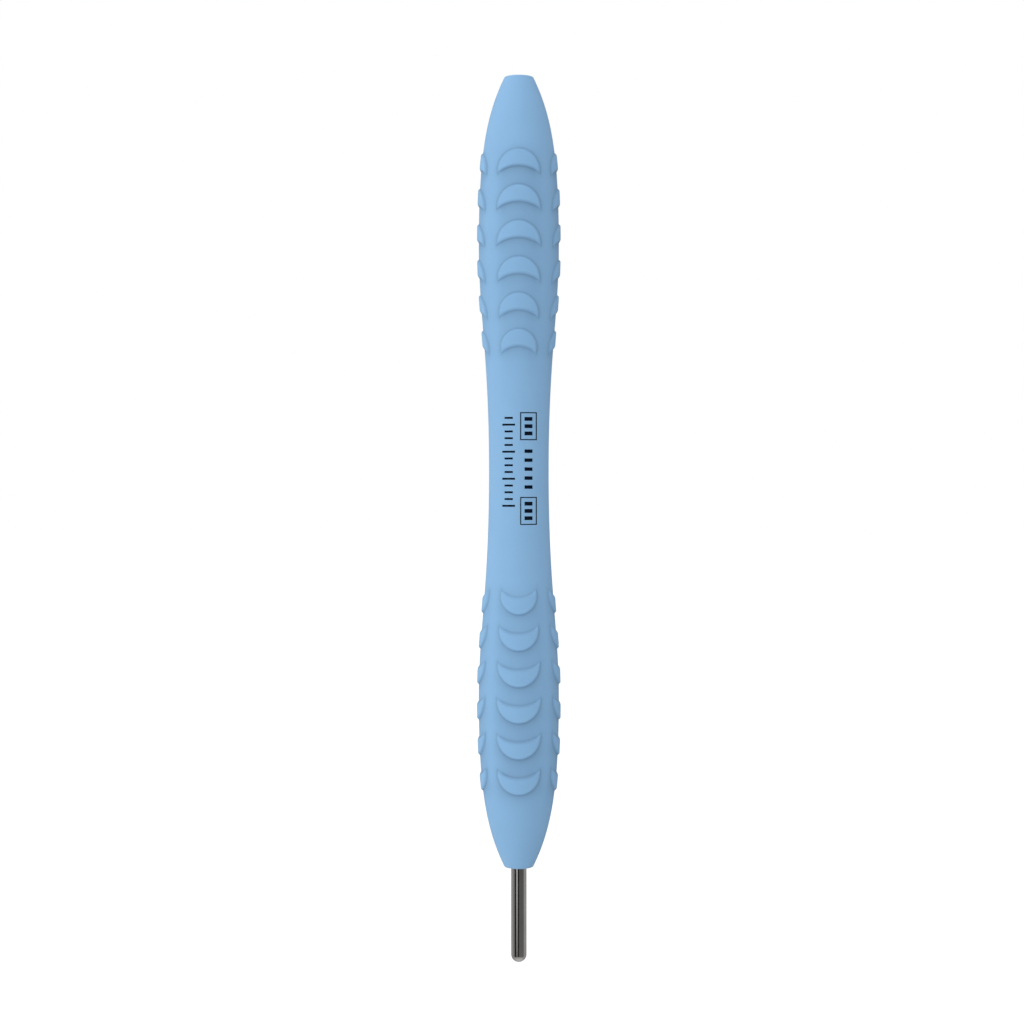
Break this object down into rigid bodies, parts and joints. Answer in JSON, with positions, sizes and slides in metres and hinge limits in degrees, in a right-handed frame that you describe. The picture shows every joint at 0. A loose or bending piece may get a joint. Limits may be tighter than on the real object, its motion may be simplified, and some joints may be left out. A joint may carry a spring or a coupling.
{
  "type": "dental mirror handle",
  "caption": "Slim mouth mirror handle: soft waisted silicone grip with raised crescent pads over a hollow steel core, and a polished domed stem that unscrews from the nose.",
  "frame": {"origin": "on the handle's axis, at the middle of the grip, where the hand holds it", "axes": "+Z runs along the handle towards its tail; the stem leaves the nose towards -Z; one column of crescent pads faces -Y"},
  "size_m": [0.0122, 0.0122, 0.13],
  "materials": {
    "grip_silicone": "soft matt, light blue",
    "core_steel": "turned and drawn stainless steel",
    "polished_steel": "mirror polished stainless steel",
    "seal_rubber": "black elastomer",
    "print_ink": "pad-printed dark navy ink"
  },
  "bodies": {
    "handle": {"grip_sleeve": "grip_silicone", "core_tube": "core_steel", "nose_socket": "core_steel", "tail_plug": "core_steel", "front_lock_pin": "core_steel", "rear_lock_pin": "core_steel"},
    "seal": {"stem_seal_ring": "seal_rubber"},
    "stem": {"stem": "polished_steel"}
  },
  "joints": [
    {"name": "stem_travel", "type": "slide", "parent": "handle", "child": "seal", "axis": [0, 0, -1], "range_m": [0, 0.005]},
    {"name": "stem_turn", "type": "hinge", "parent": "seal", "child": "stem", "pos_m": [0, 0, -0.049], "axis": [0, 0, -1], "range_deg": [0, 4500]}
  ],
  "couplings": [
    {"joint": "stem_turn", "follows": "stem_travel", "rad_per_m": 15708}
  ]
}
